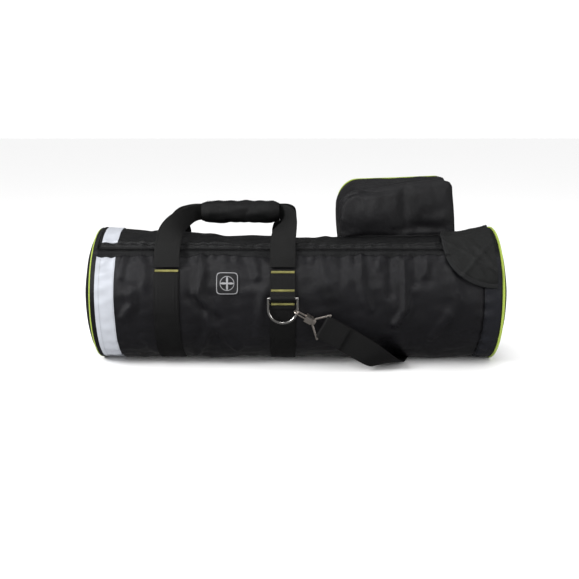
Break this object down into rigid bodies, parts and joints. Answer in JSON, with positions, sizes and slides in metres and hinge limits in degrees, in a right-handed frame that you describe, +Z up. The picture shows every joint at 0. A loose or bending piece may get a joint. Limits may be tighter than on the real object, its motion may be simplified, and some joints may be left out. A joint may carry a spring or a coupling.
{
  "type": "telescope carry case",
  "caption": "Padded tubular carry bag with a zipped lid, focuser pouch, two webbing handles, corner flap and clip-on shoulder strap.",
  "frame": {"origin": "on the ground below the middle of the bag", "axes": "+X along the bag towards the pouch end, -Y out of the front with the emblem, +Z up"},
  "size_m": [0.828, 0.3684, 0.3676],
  "materials": {
    "body_nylon": "plain-weave nylon, slight sheen",
    "lid_nylon": "plain-weave nylon, slight sheen",
    "foam": "closed-cell foam",
    "lining": "brushed lining",
    "board": "matt stiffener",
    "lime_piping": "corded piping",
    "zip_tape": "zip tape",
    "zip_teeth": "nylon coil",
    "reflective": "reflective tape",
    "binding": "binding tape",
    "webbing": "ribbed webbing",
    "strap_webbing": "ribbed webbing",
    "tack_thread": "bar tack stitching",
    "patch_base": "moulded patch",
    "patch_mark": "printed border",
    "hook_loop": "hook and loop",
    "pad_fabric": "padded mesh",
    "adjuster_plastic": "moulded",
    "slider_metal": "dark coated",
    "flap_nylon": "heavier nylon",
    "ring_metal": "nickel plated",
    "clip_metal": "nickel plated"
  },
  "bodies": {
    "root": {"body_cover": "body_nylon", "body_foam": "foam", "body_lining": "lining", "left_end_cover": "body_nylon", "right_end_cover": "body_nylon", "left_end_board": "board", "right_end_board": "board", "left_end_foam": "foam", "right_end_foam": "foam", "left_piping": "lime_piping", "right_piping": "lime_piping", "body_zip_tape": "zip_tape", "body_zip_teeth": "zip_teeth", "body_stripe": "reflective", "right_facing": "body_nylon", "hinge_binding": "binding", "band_left": "webbing", "band_right": "webbing", "bar_tacks": "tack_thread", "ring_tab_front": "webbing", "ring_tab_rear": "webbing", "emblem_patch": "patch_base", "emblem_border": "patch_mark", "flap_loop_patch": "hook_loop", "shoulder_pad": "pad_fabric", "tri_glide": "adjuster_plastic", "strap_front": "strap_webbing", "strap_rear": "strap_webbing"},
    "lid": {"lid_cover": "lid_nylon", "lid_foam": "foam", "lid_lining": "lining", "lid_zip_tape": "zip_tape", "lid_zip_teeth": "zip_teeth", "lid_stripe": "reflective", "pouch_cover": "lid_nylon", "pouch_foam": "foam", "pouch_lining": "lining", "pouch_piping": "lime_piping"},
    "front_handle": {"front_handle_strap": "webbing", "front_grip_pad": "pad_fabric"},
    "rear_handle": {"rear_handle_strap": "webbing", "rear_grip_pad": "pad_fabric"},
    "zip_slider": {"zip_slider": "slider_metal"},
    "zip_pull": {"zip_pull": "slider_metal"},
    "corner_flap": {"corner_flap": "flap_nylon", "corner_flap_binding": "binding", "flap_hook_patch": "hook_loop"},
    "ring_front": {"ring_front": "ring_metal"},
    "clip_front": {"clip_hook_front": "clip_metal", "clip_eye_front": "clip_metal"},
    "gate_front": {"clip_gate_front": "clip_metal"},
    "ring_rear": {"ring_rear": "ring_metal"},
    "clip_rear": {"clip_hook_rear": "clip_metal", "clip_eye_rear": "clip_metal"},
    "gate_rear": {"clip_gate_rear": "clip_metal"}
  },
  "joints": [
    {"name": "lid_open", "type": "hinge", "parent": "root", "child": "lid", "pos_m": [0, 0.12118, 0.19274], "axis": [-1, 0, 0], "range_deg": [0, 100]},
    {"name": "front_handle_swing", "type": "hinge", "parent": "root", "child": "front_handle", "pos_m": [0, -0.11897, 0.20249], "axis": [1, 0, 0], "range_deg": [0, 150]},
    {"name": "rear_handle_swing", "type": "hinge", "parent": "lid", "child": "rear_handle", "pos_m": [0, 0.11897, 0.20249], "axis": [-1, 0, 0], "range_deg": [0, 35]},
    {"name": "zip_slider_slide", "type": "slide", "parent": "lid", "child": "zip_slider", "axis": [-1, 0, 0], "range_m": [0, 0.62]},
    {"name": "zip_pull_swing", "type": "hinge", "parent": "zip_slider", "child": "zip_pull", "pos_m": [0.34825, -0.088, 0.23587], "axis": [0, -0.6428, 0.766], "range_deg": [-25, 25]},
    {"name": "corner_flap_lift", "type": "hinge", "parent": "lid", "child": "corner_flap", "pos_m": [0.3895, -0.08666, 0.246], "axis": [0, 0.7986, 0.6018], "range_deg": [0, 100]},
    {"name": "clip_front_lift", "type": "hinge", "parent": "root", "child": "clip_front", "pos_m": [-0.026, -0.14193, 0.14843], "axis": [-1, 0, 0], "range_deg": [0, 60]},
    {"name": "ring_front_swing", "type": "hinge", "parent": "root", "child": "ring_front", "pos_m": [-0.026, -0.14193, 0.14843], "axis": [-1, 0, 0], "range_deg": [0, 60]},
    {"name": "gate_front_press", "type": "hinge", "parent": "clip_front", "child": "gate_front", "pos_m": [0.01637, -0.14912, 0.11085], "axis": [-0.4742, 0.2588, -0.8415], "range_deg": [0, 20], "stiffness_Nm_per_rad": 0.02},
    {"name": "clip_rear_lift", "type": "hinge", "parent": "root", "child": "clip_rear", "pos_m": [-0.252, 0.14193, 0.14843], "axis": [1, 0, 0], "range_deg": [0, 60]},
    {"name": "ring_rear_swing", "type": "hinge", "parent": "root", "child": "ring_rear", "pos_m": [-0.252, 0.14193, 0.14843], "axis": [1, 0, 0], "range_deg": [0, 60]},
    {"name": "gate_rear_press", "type": "hinge", "parent": "clip_rear", "child": "gate_rear", "pos_m": [-0.20963, 0.14912, 0.11085], "axis": [0.4742, 0.2588, 0.8415], "range_deg": [0, 20], "stiffness_Nm_per_rad": 0.02}
  ],
  "couplings": [
    {"joint": "front_handle_swing", "follows": "lid_open", "ratio": 1.5},
    {"joint": "ring_front_swing", "follows": "clip_front_lift", "ratio": 1},
    {"joint": "ring_rear_swing", "follows": "clip_rear_lift", "ratio": 1}
  ]
}
